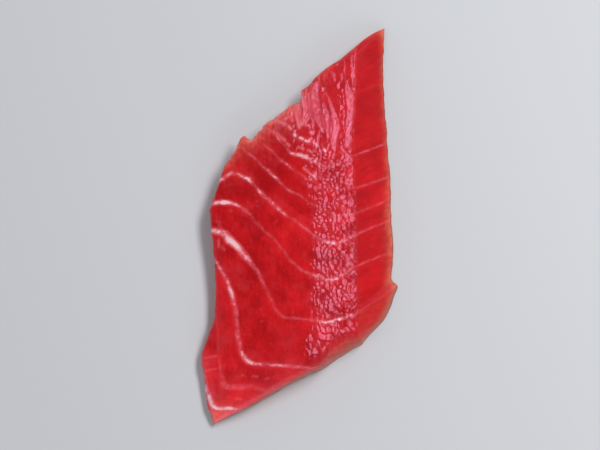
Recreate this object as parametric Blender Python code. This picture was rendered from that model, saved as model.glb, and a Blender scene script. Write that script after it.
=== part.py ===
"""One slice of raw tuna, cut obliquely from a long block of red meat.

The knife crosses the block at a flat angle, so the slice is a sheared slab:
its two cut faces are level, and its four narrow sides are the old sides of
the block, leaning over towards +X and +Y from the upper face to the lower.
Seen from above it is a long parallelogram. The upper face ends at a ridge on
the right, beyond which the side of the block slopes down to a thin rim with
a small hook near its near end. The left side is undercut by the same lean.
The near and far ends run out into thin pointed tips, the far left edge is
torn, and the slice lies flat on its lower cut face.

Metres, +Z up, +X right, +Y away. The origin is under the middle of the
slice, in the plane that it lies on.
"""

import math

import bmesh
import bpy
from mathutils import Vector

MM = 0.001

# ---------------------------------------------------------------- dimensions
# Corners of the upper face (x, y, z), before the outline is centred.
TIP_NEAR = (-18.7 * MM, -46.2 * MM, 1.6 * MM)      # pointed near-left tip
RIDGE_NEAR = (13.0 * MM, -27.3 * MM, 4.8 * MM)     # near end of the ridge
RIDGE_FAR = (12.7 * MM, 39.8 * MM, 4.7 * MM)       # far end of the ridge
CORNER_LEFT = (-19.7 * MM, 1.9 * MM, 5.0 * MM)     # blunt far-left corner

# Corners of the lower face. The left and far ones follow from the lean.
FOOT_NEAR_RIGHT = (13.7 * MM, -27.7 * MM, 0.30 * MM)
FOOT_TIP_FAR = (18.9 * MM, 45.7 * MM, 0.60 * MM)   # far tip, the longest point
LEAN = (1.08, 1.20)            # sideways travel per unit of height, x and y

CROWN = 0.95 * MM              # how far the upper face domes above its rim
CROWN_FLATNESS = 6             # even power: higher is flatter with rounder rims
WAVE_HEIGHT = 0.14 * MM        # slow unevenness of the soft upper face
WAVE_LENGTH = 17.0 * MM

# Heights of the upper rim part-way along each side: (height, position 0..1).
RIM_LEFT_MID = (3.2 * MM, 0.50)
RIM_RIGHT_MID = (6.4 * MM, 0.45)
RIM_NEAR_MID = (5.0 * MM, 0.50)
RIM_FAR_MID = (5.3 * MM, 0.50)

# Places that a rim passes in plan: (share of the way along it, x mm, y mm).
# Upper near rim: nearly straight, stepping in just before the ridge.
NEAR_RIM = ((0.07, -16.4, -45.0), (0.25, -10.4, -42.1), (0.45, -4.2, -38.4),
            (0.63, 1.7, -35.1), (0.75, 5.4, -32.7), (0.80, 6.7, -31.0), (0.90, 9.6, -28.7))
# Upper far rim as the block's own side left it.
FAR_RIM = ((0.14, -17.4, 9.3), (0.24, -15.2, 13.5), (0.31, -13.2, 15.8), (0.385, -10.6, 17.75),
           (0.45, -8.4, 20.2), (0.57, -3.4, 24.5), (0.625, -0.9, 26.2), (0.69, 1.5, 28.6),
           (0.78, 4.2, 32.2), (0.90, 8.8, 36.8))
# The same rim as it is torn: a first spur at a third of the way, a notch, a
# second, blunter spur two thirds of the way along, then straight to the ridge.
TORN_FAR_RIM = ((0.14, -17.4, 9.3), (0.24, -15.2, 13.8), (0.32, -13.15, 17.8),
                (0.345, -12.2, 19.0), (0.36, -11.7, 18.2), (0.385, -10.6, 17.75),
                (0.41, -9.8, 18.6), (0.49, -7.2, 22.0), (0.57, -3.2, 25.0), (0.60, -2.2, 26.1),
                (0.645, 0.1, 26.9), (0.665, 0.25, 28.3), (0.69, 0.45, 29.6), (0.78, 3.8, 32.9),
                (0.90, 8.8, 36.8))
TEAR_REACH = 0.12              # how far the tearing runs into the face
LIP = 0.30                     # share of the side below which the spurs are gone
# Upper left rim: bulges out near the tip, then a long shallow hollow.
LEFT_RIM = ((0.06, -19.6, -43.5), (0.17, -20.65, -38.0), (0.28, -21.35, -32.8),
            (0.41, -20.0, -26.5), (0.55, -18.5, -19.8), (0.73, -18.6, -11.2),
            (0.90, -19.4, -2.8))
# Lower rims of the near, right and far sides. The right one runs out steeply
# from the near corner to the hook, and is slightly hollow beyond it.
NEAR_FOOT = ((0.25, -9.6, -41.2), (0.50, -2.0, -36.8), (0.75, 5.7, -33.0), (0.93, 11.2, -29.2))
RIGHT_FOOT = ((0.026, 17.0, -23.9), (0.052, 19.9, -19.3), (0.078, 21.5, -14.9),
              (0.088, 21.35, -14.1), (0.097, 20.6, -13.5), (0.108, 20.25, -12.6),
              (0.19, 20.55, -7.5), (0.305, 20.3, 0.0), (0.442, 20.1, 9.0),
              (0.579, 19.45, 18.0), (0.70, 18.95, 26.0), (0.823, 18.6, 34.0),
              (0.945, 18.75, 42.0))
FAR_FOOT = ((0.20, -10.7, 15.9), (0.34, -6.3, 20.2), (0.48, -0.9, 25.2), (0.62, 4.2, 30.6),
            (0.78, 9.7, 36.9), (0.90, 14.3, 42.2))

# Swells of the straighter sides: (outward height, place along it, spread).
RIDGE_SWELLS = ((-0.2 * MM, 0.28, 0.14), (-0.8 * MM, 0.63, 0.20))
LEFT_FOOT_SWELLS = ((0.5 * MM, 0.09, 0.07), (2.0 * MM, 0.27, 0.14), (-0.8 * MM, 0.62, 0.16))

RIM_ROUND = 0.10               # share of the side taken by the rounded ridge
SIDE_BULGE = 0.22 * MM         # the old block sides are slightly convex
FOOT_LIFT = 0.12 * MM          # lower rim stands this far off the surface
FLAT_INSET = (0.035, 0.09)     # rings between the lower rim and the flat face

CELLS_ACROSS = 40
CELLS_ALONG = 60
CLOSER_NEAR = 0.6              # how much closer the rows stand at the near end

FLESH_COLOUR = (0.560, 0.012, 0.016, 1.0)
FLESH_ROUGHNESS = 0.28


# ------------------------------------------------------------------ geometry
def mix(a, b, t):
    return a + (b - a) * t


def bell(t, centre, spread):
    return math.exp(-((t - centre) / spread) ** 2)


def ends(t):
    """1 along a side, falling to 0 at both of its corners."""
    return 1.0 - (2.0 * t - 1.0) ** 12


def side(start, stop, swells, outward):
    """A side of the outline in plan, as a function of t from 0 to 1."""
    a = Vector(start[:2])
    b = Vector(stop[:2])
    chord = (b - a).normalized()
    normal = Vector((-chord.y, chord.x)) * outward

    def curve(t):
        off = sum(h * bell(t, c, w) for h, c, w in swells) * ends(t)
        return a.lerp(b, t) + normal * off

    return curve


def course(start, places, stop):
    """A side of the outline in plan through given places, as a function of t."""
    at = [0.0] + [p[0] for p in places] + [1.0]
    xy = ([Vector(start[:2])] + [Vector((p[1] * MM, p[2] * MM)) for p in places]
          + [Vector(stop[:2])])
    last = len(at) - 1
    slope = []
    for k in range(last + 1):
        i, j = max(k - 1, 0), min(k + 1, last)
        slope.append((xy[j] - xy[i]) / (at[j] - at[i]))

    def curve(t):
        k = 0
        while k < last - 1 and t >= at[k + 1]:
            k += 1
        span = at[k + 1] - at[k]
        f = (t - at[k]) / span
        return (xy[k] * (2 * f ** 3 - 3 * f ** 2 + 1) + xy[k + 1] * (3 * f ** 2 - 2 * f ** 3)
                + slope[k] * (span * (f ** 3 - 2 * f ** 2 + f))
                + slope[k + 1] * (span * (f ** 3 - f ** 2)))

    return curve


def height(start, mid, stop):
    """A rim height through three values, as a function of t from 0 to 1."""
    z0, (zm, tm), z1 = start[2], mid, stop[2]

    def level(t):
        # the parabola through the three heights
        return (z0 * (t - tm) * (t - 1.0) / tm
                + zm * t * (t - 1.0) / (tm * (tm - 1.0))
                + z1 * t * (t - tm) / (1.0 - tm))

    return level


def coons(near, far, left, right, s, t):
    """Blend four sides into the value at (s, t); works on vectors and numbers."""
    c00, c10, c01, c11 = near(0.0), near(1.0), far(0.0), far(1.0)
    across = near(s) * (1.0 - t) + far(s) * t
    along = left(t) * (1.0 - s) + right(t) * s
    corner = (c00 * (1.0 - s) * (1.0 - t) + c10 * s * (1.0 - t)
              + c01 * (1.0 - s) * t + c11 * s * t)
    return across + along - corner


def leaned(point):
    """Where the lean carries a point of the upper rim on its way down."""
    return (point[0] + LEAN[0] * point[2], point[1] + LEAN[1] * point[2],
            FOOT_LIFT)


FOOT_TIP_NEAR = leaned(TIP_NEAR)[:2] + (0.75 * MM,)
FOOT_LEFT = leaned(CORNER_LEFT)

# upper rim: s runs left to right, t runs near to far
TOP_NEAR = course(TIP_NEAR, NEAR_RIM, RIDGE_NEAR)
TOP_FAR = course(CORNER_LEFT, FAR_RIM, RIDGE_FAR)
TOP_FAR_TORN = course(CORNER_LEFT, TORN_FAR_RIM, RIDGE_FAR)
TOP_LEFT = course(TIP_NEAR, LEFT_RIM, CORNER_LEFT)
TOP_RIGHT = side(RIDGE_NEAR, RIDGE_FAR, RIDGE_SWELLS, -1)

TOP_NEAR_Z = height(TIP_NEAR, RIM_NEAR_MID, RIDGE_NEAR)
TOP_FAR_Z = height(CORNER_LEFT, RIM_FAR_MID, RIDGE_FAR)
TOP_LEFT_Z = height(TIP_NEAR, RIM_LEFT_MID, CORNER_LEFT)
TOP_RIGHT_Z = height(RIDGE_NEAR, RIM_RIGHT_MID, RIDGE_FAR)

FOOT_NEAR = course(FOOT_TIP_NEAR, NEAR_FOOT, FOOT_NEAR_RIGHT)
FOOT_FAR = course(FOOT_LEFT, FAR_FOOT, FOOT_TIP_FAR)
FOOT_LEFT_SIDE = side(FOOT_TIP_NEAR, FOOT_LEFT, LEFT_FOOT_SWELLS, 1)
FOOT_RIGHT = course(FOOT_NEAR_RIGHT, RIGHT_FOOT, FOOT_TIP_FAR)


def upper(s, t, torn=1.0):
    """A point of the upper cut face, with its far rim torn by a share from 0 to 1."""
    xy = coons(TOP_NEAR, TOP_FAR, TOP_LEFT, TOP_RIGHT, s, t)
    fade = max(0.0, 1.0 - (1.0 - t) / TEAR_REACH) ** 2
    xy = xy + (TOP_FAR_TORN(s) - TOP_FAR(s)) * (fade * torn)
    rim = coons(TOP_NEAR_Z, TOP_FAR_Z, TOP_LEFT_Z, TOP_RIGHT_Z, s, t)
    power = CROWN_FLATNESS
    dome = (1.0 - (2.0 * s - 1.0) ** power) * (1.0 - (2.0 * t - 1.0) ** power)
    wave = (math.sin(2.0 * math.pi * (xy.x + 0.6 * xy.y) / WAVE_LENGTH)
            * math.sin(2.0 * math.pi * (xy.y - 0.4 * xy.x) / (1.6 * WAVE_LENGTH)))
    return Vector((xy.x, xy.y, rim + CROWN * dome + WAVE_HEIGHT * wave * dome))


def lower(s, t):
    """A point of the lower cut face, flat but for its slightly lifted rim."""
    xy = coons(FOOT_NEAR, FOOT_FAR, FOOT_LEFT_SIDE, FOOT_RIGHT, s, t)
    inset = min(s, 1.0 - s, t, 1.0 - t)
    rise = max(0.0, 1.0 - inset / FLAT_INSET[-1]) ** 2
    near_tip = bell(math.hypot(s, t), 0.0, 0.16)
    far_tip = bell(math.hypot(1.0 - s, 1.0 - t), 0.0, 0.14)
    lift = FOOT_LIFT + (FOOT_TIP_NEAR[2] - FOOT_LIFT) * near_tip
    lift += (FOOT_TIP_FAR[2] - FOOT_LIFT) * far_tip
    return Vector((xy.x, xy.y, rise * lift))


def row_place(x):
    """Where row x (0 to 1, evenly counted) lies along the slice."""
    return x - CLOSER_NEAR * x * (1.0 - x) ** 4


def rim_place(index, inset=0.0):
    """The (s, t) of a perimeter point, drawn in from the rim by inset."""
    across, along = CELLS_ACROSS, CELLS_ALONG
    index %= 2 * (across + along)
    if index < across:
        s, t = index / across, 0.0
    elif index < across + along:
        s, t = 1.0, row_place((index - across) / along)
    elif index < 2 * across + along:
        s, t = 1.0 - (index - across - along) / across, 1.0
    else:
        s, t = 0.0, row_place(1.0 - (index - 2 * across - along) / along)
    return mix(inset, 1.0 - inset, s), mix(inset, 1.0 - inset, t)


def wall(s, t, w):
    """A point of the side: w = 0 at the upper rim, 1 at the lower rim."""
    a = upper(s, t, max(0.0, 1.0 - w / LIP))
    b = lower(s, t)
    centre = (upper(0.5, 0.5) + lower(0.5, 0.5)) * 0.5
    out = Vector((a.x + b.x, a.y + b.y, 0.0)) * 0.5 - Vector((centre.x, centre.y, 0.0))
    out.normalize()
    return a.lerp(b, w) + out * (SIDE_BULGE * 4.0 * w * (1.0 - w))


def build_slice():
    bm = bmesh.new()
    bmesh.ops.create_grid(bm, x_segments=CELLS_ACROSS, y_segments=CELLS_ALONG,
                          size=0.5)
    at = {}
    for v in bm.verts:
        i = round((v.co.x + 0.5) * CELLS_ACROSS)
        j = round((v.co.y + 0.5) * CELLS_ALONG)
        at[i, j] = v
        v.co = upper(i / CELLS_ACROSS, row_place(j / CELLS_ALONG))

    # perimeter vertices of the upper face in order round the rim
    count = 2 * (CELLS_ACROSS + CELLS_ALONG)
    ring = ([at[i, 0] for i in range(CELLS_ACROSS)]
            + [at[CELLS_ACROSS, j] for j in range(CELLS_ALONG)]
            + [at[i, CELLS_ALONG] for i in range(CELLS_ACROSS, 0, -1)]
            + [at[0, j] for j in range(CELLS_ALONG, 0, -1)])

    # rows down the side, then rows in under the lower face
    rows = [lambda s, t, i: wall(s, t, RIM_ROUND) - Vector((0.0, 0.0, 0.05 * MM)),
            lambda s, t, i: wall(s, t, 0.55),
            lambda s, t, i: lower(s, t)]
    for inset in FLAT_INSET:
        rows.append(lambda s, t, i, d=inset: lower(*rim_place(i, d)))

    for row in rows:
        edges = [bm.edges.get((ring[i], ring[(i + 1) % count]))
                 for i in range(count)]
        made = bmesh.ops.extrude_edge_only(bm, edges=edges)["geom"]
        fresh = {e for e in made if isinstance(e, bmesh.types.BMVert)}
        following = []
        for v in ring:
            following.append(next(e.other_vert(v) for e in v.link_edges
                                  if e.other_vert(v) in fresh))
        for i, v in enumerate(following):
            s, t = rim_place(i)
            v.co = row(s, t, i)
        ring = following

    for v in ring:
        v.co.z = 0.0
    bmesh.ops.contextual_create(bm, geom=[bm.edges.get((ring[i], ring[(i + 1) % count]))
                                          for i in range(count)])
    bmesh.ops.recalc_face_normals(bm, faces=bm.faces)

    # the origin goes under the middle of the outline
    xs = [v.co.x for v in bm.verts]
    ys = [v.co.y for v in bm.verts]
    middle = Vector(((min(xs) + max(xs)) / 2.0, (min(ys) + max(ys)) / 2.0, 0.0))
    bmesh.ops.translate(bm, verts=bm.verts, vec=-middle)

    mesh = bpy.data.meshes.new("tuna_slice")
    bm.to_mesh(mesh)
    bm.free()
    mesh.shade_smooth()
    mesh.set_sharp_from_angle(angle=math.radians(38.0))
    return mesh


def flesh_material():
    material = bpy.data.materials.new("tuna_flesh")
    material.use_nodes = True
    shader = material.node_tree.nodes["Principled BSDF"]
    shader.inputs["Base Color"].default_value = FLESH_COLOUR
    shader.inputs["Roughness"].default_value = FLESH_ROUGHNESS
    shader.inputs["Metallic"].default_value = 0.0
    return material


def main():
    for item in list(bpy.data.objects):
        bpy.data.objects.remove(item, do_unlink=True)
    slice_object = bpy.data.objects.new("tuna_slice", build_slice())
    slice_object.data.materials.append(flesh_material())
    bpy.context.collection.objects.link(slice_object)


main()
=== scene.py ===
"""Looks of one slice of raw tuna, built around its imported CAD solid.

The CAD solid holds the true form: a sheared slab with level cut faces, a
ridge on the right and thin pointed ends. Here the same form is rebuilt as a
fine mesh with the surface that the knife leaves: soft cushions of muscle
between pale sheets of connective tissue, fibre ends that catch the light
beside the ridge, and feathery rims. The pale sheets run through the whole
slice, so one pattern colours the faces, the sides and the underside.

Lengths in the building functions are millimetres, scaled to metres at the
end. +Z up, +X right, +Y away.
"""

import math

import bpy
import numpy as np
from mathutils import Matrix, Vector


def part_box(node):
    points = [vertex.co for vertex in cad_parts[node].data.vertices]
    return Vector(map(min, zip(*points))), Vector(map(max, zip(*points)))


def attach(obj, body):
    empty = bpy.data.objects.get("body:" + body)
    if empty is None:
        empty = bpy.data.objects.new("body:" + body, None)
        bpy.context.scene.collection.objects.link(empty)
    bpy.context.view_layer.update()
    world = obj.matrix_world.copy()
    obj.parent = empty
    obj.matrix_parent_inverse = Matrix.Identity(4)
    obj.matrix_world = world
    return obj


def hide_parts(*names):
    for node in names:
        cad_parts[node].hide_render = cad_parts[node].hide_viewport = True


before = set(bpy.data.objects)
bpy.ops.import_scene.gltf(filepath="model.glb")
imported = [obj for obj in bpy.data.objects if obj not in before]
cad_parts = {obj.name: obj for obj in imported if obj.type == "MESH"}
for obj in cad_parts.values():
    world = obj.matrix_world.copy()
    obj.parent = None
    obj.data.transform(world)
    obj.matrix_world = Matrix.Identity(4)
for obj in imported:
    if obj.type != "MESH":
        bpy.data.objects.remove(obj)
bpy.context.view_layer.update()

MM = 0.001
NODE = "tuna_slice"

# ------------------------------------------------------------------ the form
# The same corners, rims and swells as the CAD solid, in millimetres.
TIP_NEAR = (-18.7, -46.2, 1.6)
RIDGE_NEAR = (13.0, -27.3, 4.8)
RIDGE_FAR = (12.7, 39.8, 4.7)
CORNER_LEFT = (-19.7, 1.9, 5.0)
FOOT_NEAR_RIGHT = (13.7, -27.7, 0.30)
FOOT_TIP_FAR = (18.9, 45.7, 0.60)
LEAN = (1.08, 1.20)
FOOT_LIFT = 0.12

CROWN = 0.95
CROWN_FLATNESS = 6
WAVE_HEIGHT = 0.14
WAVE_LENGTH = 17.0

RIM_LEFT_MID = (3.2, 0.50)
RIM_RIGHT_MID = (6.4, 0.45)
RIM_NEAR_MID = (5.0, 0.50)
RIM_FAR_MID = (5.3, 0.50)

LEFT_FOOT_SWELLS = ((0.5, 0.09, 0.07), (2.0, 0.27, 0.14), (-0.8, 0.62, 0.16))
RIDGE_SWELLS = ((-0.2, 0.28, 0.14), (-0.8, 0.63, 0.20))

# Places on the rims: (share of the way along the side, x, y).
NEAR_RIM = ((0.07, -16.4, -45.0), (0.16, -13.4, -43.6), (0.25, -10.4, -42.1),
            (0.35, -7.3, -40.1), (0.45, -4.2, -38.4), (0.54, -1.2, -36.7), (0.63, 1.7, -35.1),
            (0.69, 3.6, -34.0), (0.75, 5.4, -32.7), (0.80, 6.7, -31.0), (0.90, 9.6, -28.7))
FAR_RIM = ((0.14, -17.4, 9.3), (0.24, -15.2, 13.5), (0.31, -13.2, 15.8), (0.385, -10.6, 17.75),
           (0.45, -8.4, 20.2), (0.57, -3.4, 24.5), (0.625, -0.9, 26.2), (0.69, 1.5, 28.6),
           (0.78, 4.2, 32.2), (0.90, 8.8, 36.8))
TORN_FAR_RIM = ((0.07, -18.6, 5.4), (0.14, -17.4, 9.3), (0.21, -16.15, 12.6),
                (0.24, -15.2, 13.8), (0.29, -13.9, 16.2), (0.32, -13.15, 17.8),
                (0.345, -12.2, 19.0), (0.36, -11.7, 18.2), (0.385, -10.6, 17.75),
                (0.41, -9.8, 18.6), (0.45, -8.5, 20.2), (0.49, -7.2, 22.0), (0.515, -5.8, 22.9),
                (0.54, -4.5, 23.7), (0.57, -3.2, 25.0), (0.60, -2.2, 26.1),
                (0.625, -0.65, 26.4), (0.645, 0.1, 26.9), (0.665, 0.25, 28.3),
                (0.69, 0.45, 29.6), (0.72, 1.9, 30.6), (0.78, 3.8, 32.9), (0.84, 5.8, 34.7),
                (0.90, 8.8, 36.8), (0.95, 11.0, 38.6))
TEAR_REACH = 0.12
LEFT_RIM = ((0.06, -19.6, -43.5), (0.10, -20.2, -41.6), (0.17, -20.65, -38.0),
            (0.23, -20.95, -35.2), (0.28, -21.35, -32.8), (0.34, -21.2, -30.0),
            (0.41, -20.0, -26.5), (0.48, -18.85, -23.1), (0.55, -18.5, -19.8),
            (0.65, -18.45, -15.1), (0.73, -18.6, -11.2), (0.81, -18.95, -7.2),
            (0.90, -19.4, -2.8))
NEAR_FOOT = ((0.25, -9.6, -41.2), (0.50, -2.0, -36.8), (0.65, 2.6, -34.4), (0.75, 5.7, -33.0),
             (0.85, 8.7, -30.8), (0.93, 11.2, -29.2))
RIGHT_FOOT = ((0.013, 15.3, -25.6), (0.026, 17.0, -23.9), (0.039, 18.7, -21.9),
              (0.052, 19.9, -19.3), (0.064, 20.6, -17.0), (0.078, 21.5, -14.9),
              (0.088, 21.35, -14.1), (0.097, 20.6, -13.5), (0.108, 20.25, -12.6),
              (0.145, 20.3, -10.5), (0.19, 20.55, -7.5), (0.244, 20.6, -4.0), (0.305, 20.3, 0.0),
              (0.366, 20.15, 4.0), (0.442, 20.1, 9.0), (0.503, 19.9, 13.0), (0.579, 19.45, 18.0),
              (0.64, 19.3, 22.0), (0.70, 18.95, 26.0), (0.762, 18.75, 30.0),
              (0.823, 18.6, 34.0), (0.884, 18.6, 38.0), (0.945, 18.75, 42.0))
FAR_FOOT = ((0.20, -10.7, 15.9), (0.34, -6.3, 20.2), (0.48, -0.9, 25.2), (0.62, 4.2, 30.6),
            (0.78, 9.7, 36.9), (0.90, 14.3, 42.2))

SIDE_BULGE = 0.22
FLAT_INSET = 0.09

# Mesh fineness: about 0.14 to 0.22 mm on the upper face and the sides, finest
# beside the ridge and round the near right corner.
ACROSS, ALONG = 150, 400
SIDE_ROWS = (0.012, 0.03, 0.06, 0.10, 0.15, 0.21, 0.27, 0.33, 0.39, 0.45, 0.51, 0.57,
             0.63, 0.69, 0.755, 0.82, 0.88, 0.94, 1.0)

# ------------------------------------------------------------- the pale sheets
# Each line is where one sheet of connective tissue meets the upper face, from
# the far end to the near tip: (x, y, whiteness, width). The sheets go down
# through the slice along GRAIN_SLANT, sideways travel per millimetre of depth.
GRAIN_SLANT = (1.10, 0.78)
SHEETS = (
    ((-24, 33, 0, .3), (0, 29.5, 0, .3), (10, 28.7, 0, .3), (12.6, 28.7, .20, .35),
     (16, 28.9, .22, .35)),
    ((-16, 30, 0, .3), (-5, 21.5, .25, .35), (-1.5, 18.6, .40, .45), (0.1, 17.3, .50, .5),
     (2, 16.5, .50, .5), (5, 16.2, .30, .4), (8.8, 17.9, .20, .4), (12.7, 20.2, .12, .35),
     (16, 20.6, .10, .3)),
    ((-18, 27, 0, .3), (-8, 21.5, .15, .3), (-6.6, 20.1, .55, .45), (-5.6, 19.3, .60, .45),
     (-4.7, 17.9, .70, .45), (-3.9, 16.8, .55, .4), (-2.9, 15.6, .40, .4),
     (-1.9, 14.2, .92, .58), (-0.1, 13.75, 1.0, .66), (0.9, 13.3, 1.0, .66),
     (2.2, 12.6, .95, .60), (3.4, 11.9, .85, .50), (4.3, 11.3, .60, .5),
     (6.9, 11.0, .55, .5), (9.6, 12, .45, .45), (12.3, 13.9, .55, .45), (16, 13.7, .45, .4)),
    ((-20, 24.5, 0, .3), (-10, 18.3, .15, .3), (-7.2, 15.7, .55, .45), (-5.8, 14.5, .65, .45),
     (-4.9, 13.4, .35, .4), (-4.0, 12.4, .85, .50), (-3.4, 11.9, .45, .4),
     (-2.8, 11.5, .80, .45), (-2.2, 11.0, .66, .45), (-.6, 9.8, .30, .4),
     (1.4, 8.3, .60, .45), (2.6, 7.6, .45, .4), (5, 6.4, .30, .4),
     (8.8, 5.7, .40, .4), (12.4, 6.2, .40, .4), (16, 6.2, .35, .35)),
    ((-22, 21.5, 0, .3), (-14.5, 17.5, .2, .3), (-12.0, 15.1, .50, .50), (-9.8, 13.1, .60, .5),
     (-8.3, 11.5, .50, .45), (-7.2, 10.4, .86, .5), (-5.6, 8.9, .84, .5), (-4.6, 7.8, .72, .5),
     (-3.4, 6.4, .40, .45), (-2.4, 5.5, .68, .5), (-.4, 4.5, .55, .4),
     (2.1, 2.6, .40, .4), (6.8, 0, .45, .45), (9.4, -.3, .50, .45), (12.6, .6, .45, .4),
     (16, 2.0, .40, .4)),
    ((-26, 3.4, .2, .6), (-20, 6.9, .90, .75), (-18.1, 8.1, .95, .80), (-16.4, 9.1, .93, .75),
     (-14.8, 9.9, .72, .6), (-12.6, 9.0, .86, .60), (-10.9, 8.1, .90, .65),
     (-9.8, 6.6, .55, .5), (-8.7, 5.3, .90, .62),
     (-7.6, 4.2, .80, .6), (-6.1, 2.7, .85, .6), (-3.4, .1, .80, .55), (-2.3, -.7, .45, .5),
     (.5, -2.8, .62, .45), (3.7, -5.4, .66, .45), (5.4, -6.4, .88, .5),
     (6.9, -6.8, .93, .5), (8.6, -6.6, .93, .5), (10.7, -5.6, .80, .45), (12.6, -4.3, .45, .4),
     (16, -3, .40, .4)),
    ((-26, .5, .3, .6), (-22, 2.1, .6, .7), (-19.7, 2.9, .75, .7), (-17.9, 3.1, .95, .75),
     (-16.5, 3.05, 1.2, .72), (-15.1, 2.8, 1.0, .66), (-13.6, 2.3, .80, .6),
     (-11.7, 1, .60, .5), (-9.3, -2, .45, .5), (-5.2, -6.3, .45, .45), (-1.2, -11.6, .50, .5),
     (.7, -13, .64, .5), (3.3, -14.2, .72, .55), (6.4, -15.1, .90, .55), (9.4, -13.9, .75, .5),
     (12.7, -11.4, .45, .4), (16, -10.2, .45, .4)),
    ((-26, -5.5, .4, .7), (-22, -3.4, .7, .9), (-19.7, -3.0, 1.05, .85), (-18.3, -3.4, .96, .95),
     (-16.7, -3.95, .94, 1.0), (-15.3, -5.7, 1.12, 1.2), (-13.2, -7.6, 1.02, 1.05),
     (-11.9, -9.4, .92, .9), (-10.4, -11.4, .75, .7), (-8.7, -14, .60, .55), (-6.9, -18.2, .50, .5),
     (-5.2, -21.6, .50, .5), (-4, -23.1, .50, .5), (-1.8, -23.8, .50, .45),
     (1.9, -24.1, .60, .45), (5, -24.6, .85, .5), (8.6, -24, .92, .5), (10.8, -23.1, .80, .45),
     (12.4, -22.3, .45, .4),
     (14, -20.6, .30, .4), (16, -17.8, .30, .4)),
    ((-26, -9.5, 0, .4), (-20, -8.2, .45, .4), (-18.4, -10, .86, .5), (-17.6, -11.3, .95, .5),
     (-16.7, -13.0, .70, .5), (-15.8, -15.0, .85, .6), (-15.0, -17.4, 1.05, .68),
     (-14.4, -19.4, .90, .62), (-13.8, -23, .70, .65),
     (-13.6, -26.5, .68, .65), (-13.2, -29.2, .75, .62), (-12.6, -31.4, .82, .66),
     (-11.2, -33.1, 1.03, .74), (-9.5, -33.8, .88, .55), (-6, -34.1, .80, .5),
     (-2.2, -34.4, .80, .5), (1.9, -34.6, .72, .45), (6, -34.8, 0, .4), (16, -30, 0, .4)),
    ((-28, -16, 0, .3), (-20, -18, .10, .35), (-18.3, -21.5, .24, .40), (-17.8, -29.4, .30, .45),
     (-17.3, -33.6, .45, .55), (-16.9, -36.5, .60, .75), (-16.1, -38.3, .68, .95),
     (-14, -38.7, .58, .90), (-10.6, -38.8, .52, .80), (-8, -39.3, .42, .6), (-2, -40.5, 0, .3),
     (8, -39, 0, .3), (16, -34, 0, .3)),
    ((-30, -22, 0, .5), (-23, -27.5, .2, .5), (-21.7, -31, .55, .6), (-21.3, -33.5, .75, .7),
     (-20.9, -36, .92, .75), (-20.4, -38.4, .98, .75), (-19.8, -40.6, 1.02, .80),
     (-19.0, -42.0, 1.05, .80), (-18, -42.9, 1.08, .72), (-16.6, -43.2, 1.02, .70),
     (-14.7, -43.1, .95, .6), (-12, -43.7, .4, .5), (-4, -47, 0, .5), (16, -46, 0, .5)),
)
# Redness of the muscle between those sheets, from deep (0) to bright (1).
BAND_TONES = (.45, .45, .40, .42, .38, .30, .20, .28, .42, .52, .62, .90)
# Softer changes of redness across the bands: (x, y, x spread, y spread, change).
TONE_CLOUDS = ((-6.3, 12.5, 3.8, 6.0, -0.40), (-8.2, 5.8, 3.2, 3.2, -0.30),
               (-3.0, -7.0, 6.0, 9.0, 0.50), (-2.4, 19.0, 5.0, 4.0, -0.22),
               (-9.0, -12.0, 2.8, 6.0, -0.38), (0.0, -20.0, 4.0, 6.0, 0.22),
               (-5.8, -35.5, 4.0, 3.0, -0.22))


# --------------------------------------------------------------- small tools
def hashed(i, j, seed):
    """A repeatable number from 0 to 1 for each lattice point (i, j)."""
    h = (i.astype(np.int64) * 374761393 + j.astype(np.int64) * 668265263
         + seed * 144269504) & 0xFFFFFFFF
    h = ((h ^ (h >> 13)) * 1274126177) & 0xFFFFFFFF
    h = ((h ^ (h >> 16)) * 374761393) & 0xFFFFFFFF
    return ((h ^ (h >> 15)) & 0xFFFFFF) / float(0x1000000)


def ripple(x, y, seed):
    """Smooth gradient noise, about -1 to 1, one bump per unit."""
    x0, y0 = np.floor(x), np.floor(y)
    fx, fy = x - x0, y - y0

    def corner(i, j):
        turn = hashed(x0 + i, y0 + j, seed) * 2.0 * math.pi
        return np.cos(turn) * (fx - i) + np.sin(turn) * (fy - j)

    sx = fx * fx * fx * (fx * (fx * 6.0 - 15.0) + 10.0)
    sy = fy * fy * fy * (fy * (fy * 6.0 - 15.0) + 10.0)
    low = corner(0, 0) * (1 - sx) + corner(1, 0) * sx
    high = corner(0, 1) * (1 - sx) + corner(1, 1) * sx
    return (low * (1 - sy) + high * sy) * 1.6


def rough(x, y, seed, octaves=3):
    """Several octaves of ripple."""
    total, gain = 0.0, 1.0
    for k in range(octaves):
        total = total + gain * ripple(x * 2.0 ** k, y * 2.0 ** k, seed + 17 * k)
        gain *= 0.5
    return total


def facets(x, y, wide, long, seed):
    """Offset from the nearest of jittered points, and three numbers of that point."""
    gx, gy = x / wide, y / long
    x0, y0 = np.floor(gx), np.floor(gy)
    best = np.full(np.shape(x), 9.0)
    dx, dy, ci, cj = (np.zeros(np.shape(x)) for _ in range(4))
    for i in (-1, 0, 1):
        for j in (-1, 0, 1):
            cx, cy = x0 + i, y0 + j
            px = cx + 0.5 + 0.8 * (hashed(cx, cy, seed) - 0.5)
            py = cy + 0.5 + 0.8 * (hashed(cx, cy, seed + 1) - 0.5)
            d = (gx - px) ** 2 + (gy - py) ** 2
            nearer = d < best
            best = np.where(nearer, d, best)
            dx, dy = np.where(nearer, gx - px, dx), np.where(nearer, gy - py, dy)
            ci, cj = np.where(nearer, cx, ci), np.where(nearer, cy, cj)
    return (dx * wide, dy * long,
            hashed(ci, cj, seed + 2), hashed(ci, cj, seed + 3), hashed(ci, cj, seed + 4))


def ease(low, high, value):
    t = np.clip((value - low) / (high - low), 0.0, 1.0)
    return t * t * (3.0 - 2.0 * t)


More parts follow.
